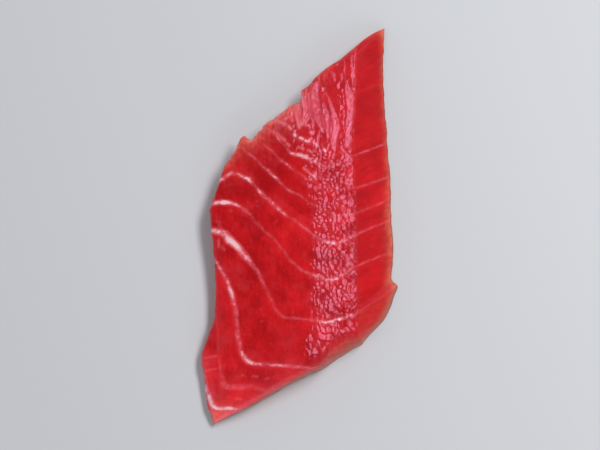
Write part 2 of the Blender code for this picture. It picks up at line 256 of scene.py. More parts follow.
# ------------------------------------------------------- the form as functions
def side(start, stop, swells, outward):
    a, b = np.array(start[:2], float), np.array(stop[:2], float)
    chord = (b - a) / np.linalg.norm(b - a)
    normal = np.array([-chord[1], chord[0]]) * outward

    def curve(t):
        t = np.asarray(t, float)[..., None]
        off = sum(h * np.exp(-((t - c) / w) ** 2) for h, c, w in swells)
        return a + (b - a) * t + normal * off * (1.0 - (2.0 * t - 1.0) ** 12)

    return curve


def course(start, places, stop):
    """A side of the outline in plan through given places, as a function of t."""
    knots = np.array([(0.0,) + tuple(start[:2])] + list(places) + [(1.0,) + tuple(stop[:2])])
    at, xy = knots[:, 0], knots[:, 1:]
    slope = np.zeros_like(xy)
    slope[1:-1] = (xy[2:] - xy[:-2]) / (at[2:] - at[:-2])[:, None]
    slope[0] = (xy[1] - xy[0]) / (at[1] - at[0])
    slope[-1] = (xy[-1] - xy[-2]) / (at[-1] - at[-2])

    def curve(t):
        t = np.asarray(t, float)
        k = np.clip(np.searchsorted(at, t, side="right") - 1, 0, len(at) - 2)
        span = (at[k + 1] - at[k])[..., None]
        f = ((t - at[k])[..., None]) / span
        return (xy[k] * (2 * f ** 3 - 3 * f ** 2 + 1) + xy[k + 1] * (3 * f ** 2 - 2 * f ** 3)
                + slope[k] * span * (f ** 3 - 2 * f ** 2 + f)
                + slope[k + 1] * span * (f ** 3 - f ** 2))

    return curve


def height(start, mid, stop):
    z0, (zm, tm), z1 = start[2], mid, stop[2]

    def level(t):
        t = np.asarray(t, float)
        return (z0 * (t - tm) * (t - 1.0) / tm
                + zm * t * (t - 1.0) / (tm * (tm - 1.0))
                + z1 * t * (t - tm) / (1.0 - tm))

    return level


def coons(near, far, left, right, s, t):
    c00, c10 = near(0.0), near(1.0)
    c01, c11 = far(0.0), far(1.0)
    flat = np.ndim(c00) == 0
    S, T = (s, t) if flat else (s[..., None], t[..., None])
    return (near(s) * (1 - T) + far(s) * T + left(t) * (1 - S) + right(t) * S
            - c00 * (1 - S) * (1 - T) - c10 * S * (1 - T)
            - c01 * (1 - S) * T - c11 * S * T)


def leaned(point):
    return (point[0] + LEAN[0] * point[2], point[1] + LEAN[1] * point[2], FOOT_LIFT)


FOOT_TIP_NEAR = leaned(TIP_NEAR)[:2] + (0.75,)
FOOT_LEFT = leaned(CORNER_LEFT)

TOP_NEAR = course(TIP_NEAR, NEAR_RIM, RIDGE_NEAR)
TOP_FAR = course(CORNER_LEFT, FAR_RIM, RIDGE_FAR)
TOP_FAR_TORN = course(CORNER_LEFT, TORN_FAR_RIM, RIDGE_FAR)
TOP_LEFT = course(TIP_NEAR, LEFT_RIM, CORNER_LEFT)
TOP_RIGHT = side(RIDGE_NEAR, RIDGE_FAR, RIDGE_SWELLS, -1)
TOP_NEAR_Z = height(TIP_NEAR, RIM_NEAR_MID, RIDGE_NEAR)
TOP_FAR_Z = height(CORNER_LEFT, RIM_FAR_MID, RIDGE_FAR)
TOP_LEFT_Z = height(TIP_NEAR, RIM_LEFT_MID, CORNER_LEFT)
TOP_RIGHT_Z = height(RIDGE_NEAR, RIM_RIGHT_MID, RIDGE_FAR)
FOOT_NEAR = course(FOOT_TIP_NEAR, NEAR_FOOT, FOOT_NEAR_RIGHT)
FOOT_FAR = course(FOOT_LEFT, FAR_FOOT, FOOT_TIP_FAR)
FOOT_LEFT_SIDE = side(FOOT_TIP_NEAR, FOOT_LEFT, LEFT_FOOT_SWELLS, 1)
FOOT_RIGHT = course(FOOT_NEAR_RIGHT, RIGHT_FOOT, FOOT_TIP_FAR)


def upper(s, t, torn=1.0):
    """The plain upper cut face, as in the CAD solid."""
    xy = coons(TOP_NEAR, TOP_FAR, TOP_LEFT, TOP_RIGHT, s, t)
    fade = np.maximum(0.0, 1.0 - (1.0 - t) / TEAR_REACH) ** 2 * torn
    xy = xy + (TOP_FAR_TORN(s) - TOP_FAR(s)) * fade[..., None]
    rim = coons(TOP_NEAR_Z, TOP_FAR_Z, TOP_LEFT_Z, TOP_RIGHT_Z, s, t)
    power = CROWN_FLATNESS
    dome = (1.0 - (2.0 * s - 1.0) ** power) * (1.0 - (2.0 * t - 1.0) ** power)
    x, y = xy[..., 0], xy[..., 1]
    wave = (np.sin(2 * math.pi * (x + 0.6 * y) / WAVE_LENGTH)
            * np.sin(2 * math.pi * (y - 0.4 * x) / (1.6 * WAVE_LENGTH)))
    return np.stack([x, y, rim + CROWN * dome + WAVE_HEIGHT * wave * dome], -1)


def lower(s, t):
    """The plain lower cut face."""
    xy = coons(FOOT_NEAR, FOOT_FAR, FOOT_LEFT_SIDE, FOOT_RIGHT, s, t)
    inset = np.minimum(np.minimum(s, 1.0 - s), np.minimum(t, 1.0 - t))
    rise = np.maximum(0.0, 1.0 - inset / FLAT_INSET) ** 2
    near_tip = np.exp(-(np.hypot(s, t) / 0.16) ** 2)
    far_tip = np.exp(-(np.hypot(1.0 - s, 1.0 - t) / 0.14) ** 2)
    lift = (FOOT_LIFT + (FOOT_TIP_NEAR[2] - FOOT_LIFT) * near_tip
            + (FOOT_TIP_FAR[2] - FOOT_LIFT) * far_tip)
    return np.concatenate([xy, (rise * lift)[..., None]], -1)


# ----------------------------------------------------- sheets as a smooth field
def spline(points, steps=6):
    """A smooth curve through (x, y) points, with their other numbers blended."""
    p = np.array(points, float)
    xy = np.vstack([2 * p[0, :2] - p[1, :2], p[:, :2], 2 * p[-1, :2] - p[-2, :2]])
    out = []
    for k in range(len(p) - 1):
        a, b, c, d = xy[k:k + 4]
        # centripetal Catmull-Rom
        t0 = 0.0
        t1 = t0 + np.linalg.norm(b - a) ** 0.5
        t2 = t1 + np.linalg.norm(c - b) ** 0.5
        t3 = t2 + np.linalg.norm(d - c) ** 0.5
        for q in range(steps):
            f = q / steps
            t = t1 + (t2 - t1) * f
            a1 = a * (t1 - t) / (t1 - t0) + b * (t - t0) / (t1 - t0)
            a2 = b * (t2 - t) / (t2 - t1) + c * (t - t1) / (t2 - t1)
            a3 = c * (t3 - t) / (t3 - t2) + d * (t - t2) / (t3 - t2)
            b1 = a1 * (t2 - t) / (t2 - t0) + a2 * (t - t0) / (t2 - t0)
            b2 = a2 * (t3 - t) / (t3 - t1) + a3 * (t - t1) / (t3 - t1)
            at = b1 * (t2 - t) / (t2 - t1) + b2 * (t - t1) / (t2 - t1)
            out.append(np.concatenate([at, p[k, 2:] * (1 - f) + p[k + 1, 2:] * f]))
    out.append(p[-1])
    return np.array(out)


def to_curve(line, u, v):
    """Distance, side and blended numbers of the nearest place on a curve."""
    best = np.full(u.shape, 1e9)
    right = np.zeros(u.shape, bool)
    white = np.zeros(u.shape)
    width = np.zeros(u.shape)
    for a, b in zip(line[:-1], line[1:]):
        ex, ey = b[0] - a[0], b[1] - a[1]
        length = ex * ex + ey * ey
        if length < 1e-12:
            continue
        dx, dy = u - a[0], v - a[1]
        f = np.clip((dx * ex + dy * ey) / length, 0.0, 1.0)
        d = (dx - f * ex) ** 2 + (dy - f * ey) ** 2
        nearer = d < best
        best = np.where(nearer, d, best)
        right = np.where(nearer, ex * dy - ey * dx < 0.0, right)
        white = np.where(nearer, a[2] + (b[2] - a[2]) * f, white)
        width = np.where(nearer, a[3] + (b[3] - a[3]) * f, width)
    return np.sqrt(best), right, white, width


def sheet_field(u, v):
    """Where (u, v) lies among the pale sheets.

    phase is k on sheet k and runs evenly from one to the next; pitch is the
    local distance between the two, so |phase - k| * pitch is the distance to
    sheet k in millimetres.
    """
    wu = u + 0.16 * ripple(u / 2.3, v / 2.3, 11) + 0.07 * ripple(u / 0.9, v / 0.9, 12)
    wv = v + 0.16 * ripple(u / 2.3, v / 2.3, 13) + 0.07 * ripple(u / 0.9, v / 0.9, 14)
    found = [to_curve(spline(points), wu, wv) for points in SHEETS]
    dist = np.array([f[0] for f in found])
    passed = np.array([f[1] for f in found]).sum(0)
    white = np.array([f[2] for f in found])
    width = np.array([f[3] for f in found])
    n, far = len(SHEETS), 14.0
    here = np.arange(u.size)
    above, below = np.clip(passed - 1, 0, n - 1), np.clip(passed, 0, n - 1)
    da = np.where(passed > 0, dist[above, here], far - dist[0])
    db = np.where(passed < n, dist[below, here], far - dist[n - 1])
    da, db = np.maximum(da, 1e-4), np.maximum(db, 1e-4)
    share = da / (da + db)
    first = share < 0.5
    nearest = np.where(first, above, below)
    nearest = np.where(passed == 0, 0, np.where(passed == n, n - 1, nearest))
    tones = np.array(BAND_TONES)
    here_tone = tones[passed]
    last_tone = tones[np.clip(passed - 1, 0, n)]
    next_tone = tones[np.clip(passed + 1, 0, n)]
    # tones melt into each other over about a millimetre
    near_a, near_b = np.exp(-da / 0.7), np.exp(-db / 0.7)
    tone = (here_tone + 0.5 * near_a * (last_tone - here_tone)
            + 0.5 * near_b * (next_tone - here_tone))
    return {"phase": passed - 1 + share, "pitch": da + db,
            "white": white[nearest, here], "girth": width[nearest, here],
            "dist": np.minimum(da, db), "share": share, "tone": tone}


# ------------------------------------------------------------- surface relief
# Long wet strands at the far end, flattened where they face up and to the right:
# (x, y, half-width) along each strand.
STRANDS = (
    ((4.00, 31.2, .32), (3.55, 29.8, .78), (3.30, 28.2, .95), (3.40, 26.1, 1.05),
     (3.70, 24.1, 1.12), (4.25, 22.3, 1.05), (4.85, 20.7, .85), (5.20, 19.2, .40)),
    ((5.11, 27.2, .15), (5.38, 28.1, .22), (5.88, 28.5, .22), (6.31, 27.7, .28),
     (6.70, 26.3, .42), (7.10, 24.9, .55), (7.55, 23.5, .65), (7.90, 21.7, 1.00),
     (7.85, 20.1, 1.15), (7.60, 18.5, 1.00), (7.50, 16.8, .70), (7.57, 15.2, .60),
     (7.69, 14.0, .35)),
    ((5.25, 25.9, .30), (5.50, 23.9, .85), (5.85, 22.2, 1.00), (6.20, 20.7, .95),
     (6.40, 19.3, .80), (6.30, 17.9, .45)),
    ((1.20, 27.9, .25), (1.30, 26.2, .52), (1.25, 24.8, .60), (1.05, 23.2, .35)),
    ((-.30, 26.6, .25), (-.15, 25.2, .45), (-.10, 23.8, .50), (0.15, 22.4, .30)),
    ((4.46, 19.3, .25), (4.23, 17.9, .45), (3.85, 16.4, .45), (3.54, 15.2, .25)),
    ((4.96, 16.2, .22), (5.38, 14.7, .40), (5.92, 13.3, .30)),
    ((10.45, 31.5, .25), (10.60, 30.2, .58), (10.85, 28.8, .75), (11.15, 27.2, .88),
     (11.25, 24.9, .85), (11.15, 22.9, .78), (10.90, 20.9, .66), (10.70, 19.1, .56),
     (10.60, 17.5, .50), (10.35, 16.0, .42), (10.07, 14.4, .32), (9.84, 13.2, .20)),
    ((11.40, 37.1, .19), (11.60, 35.4, .31), (11.75, 33.8, .35), (11.90, 32.2, .38),
     (12.05, 30.6, .27)),
    ((9.92, 36.7, .15), (9.96, 35.0, .22), (9.92, 33.0, .18)),
    ((7.04, 33.7, .22), (7.54, 32.9, .50), (7.81, 31.6, .38)),
    ((9.30, 32.9, .30), (9.42, 32.0, .32), (9.27, 31.2, .18)),
    ((0.08, 23.1, .20), (0.15, 21.7, .33), (0.08, 20.3, .22)),
    ((2.69, 23.8, .18), (2.04, 22.3, .30), (1.38, 21.1, .24)),
    ((-2.38, 24.3, .18), (-2.46, 23.0, .24)),
    ((9.61, 24.3, .14), (9.77, 23.1, .22), (9.65, 21.9, .14)),
    ((9.34, 29.4, .14), (9.69, 27.8, .22), (9.84, 25.7, .18)),
    ((2.15, 27.8, .20), (2.25, 26.0, .38), (2.35, 24.0, .45), (2.70, 22.4, .35)),
)


def on_strand(line, u, v):
    """How far (u, v) belongs to a strand, and its offset to the right of the middle."""
    best = np.full(u.shape, 9.0)
    across = np.zeros(u.shape)
    for a, b in zip(line[:-1], line[1:]):
        ex, ey = b[0] - a[0], b[1] - a[1]
        f = np.clip(((u - a[0]) * ex + (v - a[1]) * ey) / (ex * ex + ey * ey), 0.0, 1.0)
        dx, dy = u - a[0] - f * ex, v - a[1] - f * ey
        w = a[2] + (b[2] - a[2]) * f
        d = np.hypot(dx, dy) / w
        nearer = d < best
        best = np.where(nearer, d, best)
        across = np.where(nearer, np.clip(dx, -1.2 * w, 1.2 * w), across)
    return 1.0 - ease(0.80, 1.30, best), across


def shine_zone(u, v):
    """1 in the lane beside the ridge where the fibre ends stand up."""
    start = 0.6 - 4.6 * ease(11.5, 16.5, v) + 0.8 * ripple(u / 3.0, v / 1.8, 19)
    start = start + 1.7 * (1.0 - ease(-3.0, 6.0, v)) * ease(-29.0, -25.0, v)
    start = start + 0.45 * ripple(u / 0.9, v / 0.9, 20)
    return ease(start, start + 0.9, u)


def slopes(u, v, z):
    """Slopes of the plain upper face along X and Y."""
    shape = (ACROSS + 1, ALONG + 1)
    xs, xt = np.gradient(u.reshape(shape))
    ys, yt = np.gradient(v.reshape(shape))
    zs, zt = np.gradient(z.reshape(shape))
    area = xs * yt - xt * ys
    area = np.where(np.abs(area) < 1e-7, 1e-7, area)
    along_x = (zs * yt - zt * ys) / area
    along_y = (zt * xs - zs * xt) / area
    return (np.clip(along_x, -0.5, 0.5).ravel(), np.clip(along_y, -0.5, 0.5).ravel())


# The fibre ends are tiny shingles: the ones that shine fall this much to the right.
TILT = -0.29

# Where in the lane more or fewer of them shine: (x, y, x spread, y spread, change).
SHINE_CLOUDS = ((9.0, -18.2, 2.4, 2.2, 0.55), (8.0, -2.2, 1.6, 1.4, 0.25),
                (8.0, -12.0, 1.8, 1.8, -0.25), (8.0, 1.0, 1.6, 1.6, -0.20),
                (2.2, -5.5, 1.5, 2.5, -0.35), (2.2, -18.0, 1.5, 2.0, -0.30),
                (5.0, -21.8, 1.6, 1.4, -0.30), (5.0, -12.0, 1.6, 1.8, 0.30),
                (8.0, 11.5, 1.6, 2.0, -0.25), (5.0, 11.0, 1.6, 1.8, 0.25),
                (1.9, 11.5, 1.4, 1.8, -0.42), (1.9, -28.0, 1.4, 1.4, -0.45),
                (5.0, -28.2, 1.6, 1.4, 0.25), (8.4, -24.5, 1.6, 1.6, -0.25),
                (1.9, 23.7, 1.3, 1.6, 0.25))


def shingles(u, v, wide, long, seed, share, zx, zy, wildness=1.0):
    """Heights of a field of small tilted facets, a share of them tilted to shine."""
    dx, dy, r1, r2, r3 = facets(u, v, wide, long, seed)
    lit = r1 < share
    tx = np.where(lit, TILT + 0.08 * (r2 - 0.5),
                  np.maximum(zx, 0.0) + 0.22 * wildness * (r2 - 0.4))
    ty = np.where(lit, 0.14 * (r3 - 0.5), 0.7 * zy + 0.28 * wildness * (r3 - 0.5))
    return (tx - zx) * dx + (ty - zy) * np.clip(dy, -1.2, 1.2)


def relief(s, t, u, v, z, field):
    """Height of the cut surface above the plain form, in millimetres."""
    zx, zy = slopes(u, v, z)
    lane = shine_zone(u, v)
    # strands at the far end, streaks at the near rim, fibre ends between
    far_part = ease(14.0, 16.5, v + 0.9 * ripple(u / 1.2, v / 1.2, 18))
    near_part = 1.0 - ease(-24.5, -22.0, v + 0.9 * ripple(u / 1.5, v / 1.5, 17))
    wu = u + 0.16 * ripple(u / 1.4, v / 5.0, 46) + 0.05 * ripple(u / 0.5, v / 1.5, 47)
    total, strand = np.zeros(u.shape), np.zeros(u.shape)
    for line in STRANDS:
        on, across = on_strand(line, wu + 0.18 * ripple(u / 0.7, v / 1.1, 40), v)
        total = total + on
        strand = strand + on * ((TILT - zx) * across)
    strand = strand / np.maximum(total, 1.0)
    on = np.minimum(total, 1.0)
    torn = shingles(wu, v, 0.80, 1.1, 41, 0.0 * on, 0.0 * zx, 0.0 * zy, 1.0)
    strand = strand + 0.60 * on * torn

    dense = ease(-0.2, 3.4, u + 1.1 * ripple(u / 1.6, v / 2.0, 39)
                 - 1.0 * (1.0 - ease(4.0, 9.0, v)))
    patch = 0.66 + 0.44 * ripple(u / 2.6, v / 1.6, 36) + 0.22 * ripple(u / 0.9, v / 4.0, 37)
    thinner = (0.24 + 0.16 * ease(5.0, 9.0, v)) * ease(6.3, 9.3, u)
    local = sum(change * np.exp(-((u - x) / wide) ** 2 - ((v - y) / long) ** 2)
                for x, y, wide, long, change in SHINE_CLOUDS)
    patch = (patch + local + 0.26 * ease(6.0, 10.0, v) - thinner) * dense
    beside = 1.0 - ease(2.4, 3.4, u)        # left of the strands: feathery specks
    between = (0.14 + 0.46 * (1.0 - ease(15.0, 21.0, v)) * (1.0 - 0.75 * beside)
               + 0.05 * beside) * (1.0 - on)
    between = between * (1.0 - 0.6 * ease(8.0, 9.5, u))

    mid = shingles(wu, v, 1.00, 0.64, 21, patch, zx, zy)
    low = shingles(wu, v, 0.92, 0.86, 22, patch, zx, zy)
    mid = low + (mid - low) * ease(-8.0, -5.0, v)
    far = shingles(wu, v, 0.90, 1.10, 27, between, zx, zy, 0.5)
    streaks = 0.52 + 0.60 * ripple(u / 1.5, v / 4.0, 31)
    streaks = (streaks + local + 0.14 - 0.22 * ease(6.5, 9.5, u)) * dense
    near = shingles(wu, v, 0.95, 1.6, 30, streaks, zx, zy)
    far = far * (1.0 - on) + strand
    h = lane * (mid * (1.0 - far_part) * (1.0 - near_part) + far * far_part + near * near_part)

    # cushions between the sheets, which stand out as fine ridges
    share = field["share"]
    cushion = 1.0 - (2.0 * share - 1.0) ** 2
    h = h + 0.10 * cushion * ease(0.8, 5.0, field["pitch"])
    h = h + 0.050 * np.exp(-(field["dist"] / 0.32) ** 2) * np.minimum(field["white"], 1.0)
    h = h + 0.025 * rough(u / 2.6, v / 3.8, 51)
    # soft shoulders where the cut meets the sides
    shoulder = np.minimum(np.minimum(s * 31.0, (1.0 - s) * 31.0 * 2.0),
                          np.minimum(t, 1.0 - t) * 54.0)
    # painted sheen and paler fibres: the lane beside the ridge is painted pinker as sheen, the
    # strands paler for their own colour and sheen, and the left of the near rim pinker
    pinker = 0.16 * dense * (1.0 - 0.5 * ease(7.5, 10.5, u))
    stringy = np.maximum((1.0 - 0.3 * ease(8.0, 9.5, u)) * on, 0.14)
    stringy = stringy + 0.45 * np.exp(-((u - 1.4) / 2.0) ** 2 - ((v - 24.8) / 2.6) ** 2)
    pale_fibres_and_sheen = lane * (pinker * (1.0 - far_part) + far_part * stringy)
    pale_fibres_and_sheen = pale_fibres_and_sheen + 0.45 * np.exp(-t * 54.0 / 2.6) * (1.0 - ease(0.45, 0.65, s))
    return h * ease(0.0, 0.8, shoulder), pale_fibres_and_sheen


def edge_rounding(s, t):
    """How far the rims of the upper face are rounded down."""
    down = 0.0
    for gap, radius, depth in (((1.0 - s) * 31.0, 0.75, 0.14), (s * 31.0, 0.8, 0.20),
                               ((1.0 - t) * 54.0, 1.1, 0.40), (t * 54.0, 2.0, 0.55)):
        down = down + depth * np.maximum(0.0, 1.0 - gap / radius) ** 2
    return down


# Short pale marks that belong to no sheet, and a few painted glints such as the highlight along the
# spur of the torn far rim: (x, y) to (x, y), half-width, strength.
PALE_MARKS_AND_GLINTS = (
    (-5.8, 22.6, -3.2, 21.2, 0.52, 0.80), (-5.9, 19.6, -4.6, 18.6, 0.42, 0.62),
    (-4.4, 18.4, -3.3, 17.3, 0.38, 0.72), (-2.6, 24.2, -0.4, 25.0, 0.36, 0.66),
    (-5.0, 23.6, -3.6, 23.6, 0.36, 0.62), (-0.9, 24.1, -0.1, 20.2, 0.42, 0.80),
    (1.7, 23.4, 0.6, 20.9, 0.42, 0.78), (-2.4, 20.6, -1.9, 20.0, 0.46, 0.86),
    (-1.10, 18.6, -0.95, 18.3, 0.50, 1.02), (0.1, 17.8, 0.7, 17.5, 0.44, 1.05),
    (1.3, 17.1, 1.9, 16.8, 0.44, 1.05), (2.5, 19.1, 2.7, 18.7, 0.46, 0.88),
    (5.45, 14.9, 5.65, 14.6, 0.46, 1.02), (3.4, 16.4, 3.9, 15.8, 0.42, 0.90),
    (0.4, 28.6, 0.9, 25.4, 0.50, 0.80), (2.0, 28.6, 2.1, 25.4, 0.36, 0.66),
    (-0.6, 26.9, -0.4, 25.6, 0.42, 0.70),
    (-3.3, 22.4, -2.2, 23.0, 0.34, 0.70),
    (-1.9, 23.2, -1.6, 21.9, 0.32, 0.66), (1.2, 22.6, 1.4, 20.6, 0.32, 0.66),
    (3.0, 22.0, 3.0, 20.4, 0.32, 0.66), (-0.3, 15.6, 0.9, 15.1, 0.32, 0.62),
    (-2.9, 16.6, -2.2, 16.0, 0.32, 0.64), (1.8, 14.8, 2.9, 14.3, 0.32, 0.62),
    (0.9, 10.6, 2.2, 9.4, 0.36, 0.66), (2.8, 9.0, 3.6, 8.0, 0.40, 0.80),
    (-20.9, -31.7, -18.2, -31.6, 0.24, 0.38), (-20.8, -34.6, -18.1, -34.4, 0.22, 0.32),
    (-15.3, 1.2, -15.0, 0.9, 0.24, 0.26), (-18.2, -1.0, -17.4, -1.6, 0.20, 0.26),
    (-17.9, -2.1, -16.6, -3.4, 0.22, 0.30), (-5.2, -1.6, -4.9, -1.8, 0.20, 0.18),
    (-9.4, 3.2, -9.1, 3.1, 0.20, 0.20), (-3.2, -30.6, -3.0, -30.8, 0.20, 0.18),
    (-8.7, -24.3, -7.9, -24.4, 0.18, 0.20), (-12.6, -36.2, -12.2, -36.2, 0.24, 0.30),
    (-10.2, -36.4, -9.2, -36.6, 0.24, 0.30), (-7.4, -37.0, -6.7, -37.1, 0.22, 0.26),
    (-13.7, -41.2, -12.6, -41.4, 0.24, 0.30), (-17.6, -45.0, -17.0, -44.8, 0.30, 0.46),
    (-16.2, -44.2, -15.4, -44.2, 0.26, 0.40), (-17.8, -5.4, -17.7, -6.8, 0.32, 0.44),
    (-17.2, -6.9, -16.4, -7.7, 0.26, 0.36),
)


# ----------------------------------------------------------------- the mesh
def spread(count, weight):
    """count + 1 places from 0 to 1, closer together where weight is high."""
    fine = np.linspace(0.0, 1.0, 4001)
    total = np.concatenate([[0.0], np.cumsum(weight((fine[1:] + fine[:-1]) / 2))])
    places = np.interp(np.arange(count + 1) / count, total / total[-1], fine)
    places[0], places[-1] = 0.0, 1.0
    return places


S_PLACES = spread(ACROSS, lambda f: 1.0 + 1.9 * ease(0.50, 0.66, f))
T_PLACES = spread(ALONG, lambda f: 1.0 + 1.0 * (1.0 - ease(0.07, 0.13, f)))


def rim_places(s_places, t_places):
    """(s, t) of the points round the rim, near side first, anticlockwise."""
    s = np.concatenate([s_places[:-1], np.full(len(t_places) - 1, s_places[-1]),
                        s_places[:0:-1], np.full(len(t_places) - 1, s_places[0])])
    t = np.concatenate([np.full(len(s_places) - 1, t_places[0]), t_places[:-1],
                        np.full(len(s_places) - 1, t_places[-1]), t_places[:0:-1]])
    return s, t


def rim_index(across, along):
    """Grid indices of the same points."""
    i = np.concatenate([np.arange(across), np.full(along, across),
                        np.arange(across, 0, -1), np.zeros(along, int)])
    j = np.concatenate([np.zeros(across, int), np.arange(along),
                        np.full(across, along), np.arange(along, 0, -1)])
    return i * (along + 1) + j


def frayed(s, t, along_rim):
    """Sideways unevenness of the rims, outward, for points on the rim."""
    far_left = ease(0.16, 0.30, s) * (1.0 - ease(0.66, 0.74, s)) * (t > 0.999)
    near_tip = np.exp(-(np.hypot(s, t) / 0.10) ** 2)
    wiggle = rough(along_rim / 2.1, along_rim * 0.0 + 3.3, 61, 3)
    teeth = ripple(along_rim / 0.75, along_rim * 0.0 + 5.1, 62)
    return (0.09 + 0.10 * far_left) * wiggle + (0.22 * far_left + 0.20 * near_tip) * teeth


def build_slice():
    S, T = np.meshgrid(S_PLACES, T_PLACES, indexing="ij")
    s, t = S.ravel(), T.ravel()
    top = upper(s, t)

    rs, rt = rim_places(S_PLACES, T_PLACES)
    count = len(rs)
    ring = rim_index(ACROSS, ALONG)

    # outward directions in plan, square to the rim
    head, foot = upper(rs, rt), lower(rs, rt)
    along_rim = np.roll(head, -4, 0)[:, :2] - np.roll(head, 4, 0)[:, :2]
    out = np.stack([along_rim[:, 1], -along_rim[:, 0]], 1)
    out = out / np.linalg.norm(out, axis=1)[:, None]
    long_run = np.roll(head, -30, 0)[:, :2] - np.roll(head, 30, 0)[:, :2]
    out_smooth = np.stack([long_run[:, 1], -long_run[:, 0]], 1)
    out_smooth = out_smooth / np.linalg.norm(out_smooth, axis=1)[:, None]
    # distance round the rim
    step = np.linalg.norm(np.roll(head, -1, 0) - head, axis=1)
    walk = np.concatenate([[0.0], np.cumsum(step)[:-1]])

    # pattern coordinates of the upper face
    u, v = top[:, 0].copy(), top[:, 1].copy()
    field = sheet_field(u, v)
    h, pale_fibres_and_sheen = relief(s, t, u, v, top[:, 2], field)
    h = h - edge_rounding(s, t)
    fine = top.copy()
    fine[:, 2] += h

    # frayed rims: the offset fades into the face over a millimetre or so
    jag = frayed(rs, rt, walk)
    jag_xy = out * jag[:, None]
    gap_far, gap_near = (1.0 - t) * 54.0, t * 54.0
    gap_left, gap_right = s * 31.0, (1.0 - s) * 31.0
    grid_i = np.repeat(np.arange(ACROSS + 1), ALONG + 1)
    grid_j = np.tile(np.arange(ALONG + 1), ACROSS + 1)
    for gap, index in ((gap_far, ACROSS + ALONG + (ACROSS - grid_i)), (gap_near, grid_i),
                       (gap_left, 2 * ACROSS + ALONG + (ALONG - grid_j)),
                       (gap_right, ACROSS + grid_j)):
        fade = np.maximum(0.0, 1.0 - gap / 1.6) ** 2
        fine[:, :2] += jag_xy[index % count] * fade[:, None] * 0.999
    # corners got the offset twice
    for corner in (0, ACROSS, ACROSS + ALONG, 2 * ACROSS + ALONG):
        fine[ring[corner], :2] -= jag_xy[corner] * 0.999

    # the sides
    rows = np.array(SIDE_ROWS)
    start = fine[ring]
    stop = foot.copy()
    stop[:, :2] += jag_xy * 0.8 + out * (0.10 * rough(walk / 3.1, walk * 0 + 9.7, 71, 2))[:, None]
    w = rows[:, None]
    sides = start[None] * (1 - w[..., None]) + stop[None] * w[..., None]
    blunt = 0.35 * np.exp(-(np.hypot(1.0 - rs, 1.0 - rt) / 0.05) ** 2)
    sides[..., :2] += out[None] * ((SIDE_BULGE + blunt[None]) * 4.0 * w * (1.0 - w))[..., None]
    # below the torn far rim the side runs straight, so the spurs are thin lips
    torn_rim = (rt > 0.999) * ease(0.10, 0.20, rs) * (1.0 - ease(0.84, 0.92, rs))
    straight = upper(rs, rt, 0.0)[:, :2] - 0.30 * out_smooth
    pull = ease(0.0, 0.16, w) * (1.0 - w)
    sides[..., :2] += (straight - start[:, :2])[None] * (pull * torn_rim[None])[..., None]
    depth = head[None, :, 2] - (head[None, :, 2] * (1 - w) + foot[None, :, 2] * w)
    su = sides[..., 0] - GRAIN_SLANT[0] * depth
    sv = sides[..., 1] - GRAIN_SLANT[1] * depth
    bumps = (0.035 * ripple(su / 0.9, sv / 0.9, 81) + 0.06 * rough(su / 3.5, sv / 3.5, 82, 2)
             + 0.012 * ripple(walk[None] / 0.5 + 0 * w, w * 9 + 0 * su, 83))
    sides[..., :2] += out[None] * (bumps * (4.0 * w * (1.0 - w)) ** 0.5)[..., None]

    # the underside, at half the fineness
    half_a, half_b = ACROSS // 2, ALONG // 2
    inset = 0.012
    low_s = inset + (1.0 - 2.0 * inset) * S_PLACES[::2]
    low_t = inset + (1.0 - 2.0 * inset) * T_PLACES[::2]
    Sb, Tb = np.meshgrid(low_s, low_t, indexing="ij")
    sb, tb = Sb.ravel(), Tb.ravel()
    base = lower(sb, tb)
    base_ring = rim_index(half_a, half_b)

    points = np.vstack([fine, sides.reshape(-1, 3), base])
    n_top, n_side = len(fine), sides.shape[0] * sides.shape[1]

    faces = []
    i, j = np.meshgrid(np.arange(ACROSS), np.arange(ALONG), indexing="ij")
    a = (i * (ALONG + 1) + j).ravel()
    faces.append(np.stack([a, a + ALONG + 1, a + ALONG + 2, a + 1], 1))
    around = np.arange(count)
    following = np.roll(around, -1)
    previous = ring
    for r in range(len(rows)):
        current = n_top + r * count + around
        faces.append(np.stack([previous[around], current[around],
                               current[following], previous[following]], 1))
        previous = current
    i, j = np.meshgrid(np.arange(half_a), np.arange(half_b), indexing="ij")
    b = (n_top + n_side + i * (half_b + 1) + j).ravel()
    faces.append(np.stack([b, b + 1, b + half_b + 2, b + half_b + 1], 1))
    # from the fine lower rim to the coarser underside, two cells to one
    small = np.arange(count // 2)
    c0 = n_top + n_side + base_ring[small]
    c1 = n_top + n_side + base_ring[np.roll(small, -1)]
    f0 = previous[2 * small]
    f1 = previous[2 * small + 1]
    f2 = previous[(2 * small + 2) % count]
    triangles = np.concatenate([np.stack([f0, c0, f1], 1), np.stack([f1, c0, c1], 1),
                                np.stack([f1, c1, f2], 1)])

    # pattern coordinates everywhere: a point is looked up where the slant
    # that passes through it meets the upper face
    base_depth = upper(sb, tb)[:, 2] - base[:, 2]
    grain = np.vstack([np.stack([u, v, np.zeros_like(u)], 1),
                       np.stack([su.ravel(), sv.ravel(), depth.ravel()], 1),
                       np.stack([base[:, 0] - GRAIN_SLANT[0] * base_depth,
                                 base[:, 1] - GRAIN_SLANT[1] * base_depth, base_depth], 1)])
    rest = sheet_field(grain[n_top:, 0], grain[n_top:, 1])
    marks = {k: np.concatenate([field[k], rest[k]]) for k in
             ("phase", "pitch", "white", "girth", "tone")}

    for x, y, wide, long, change in TONE_CLOUDS:
        marks["tone"] += change * np.exp(-((grain[:, 0] - x) / wide) ** 2
                                         - ((grain[:, 1] - y) / long) ** 2)
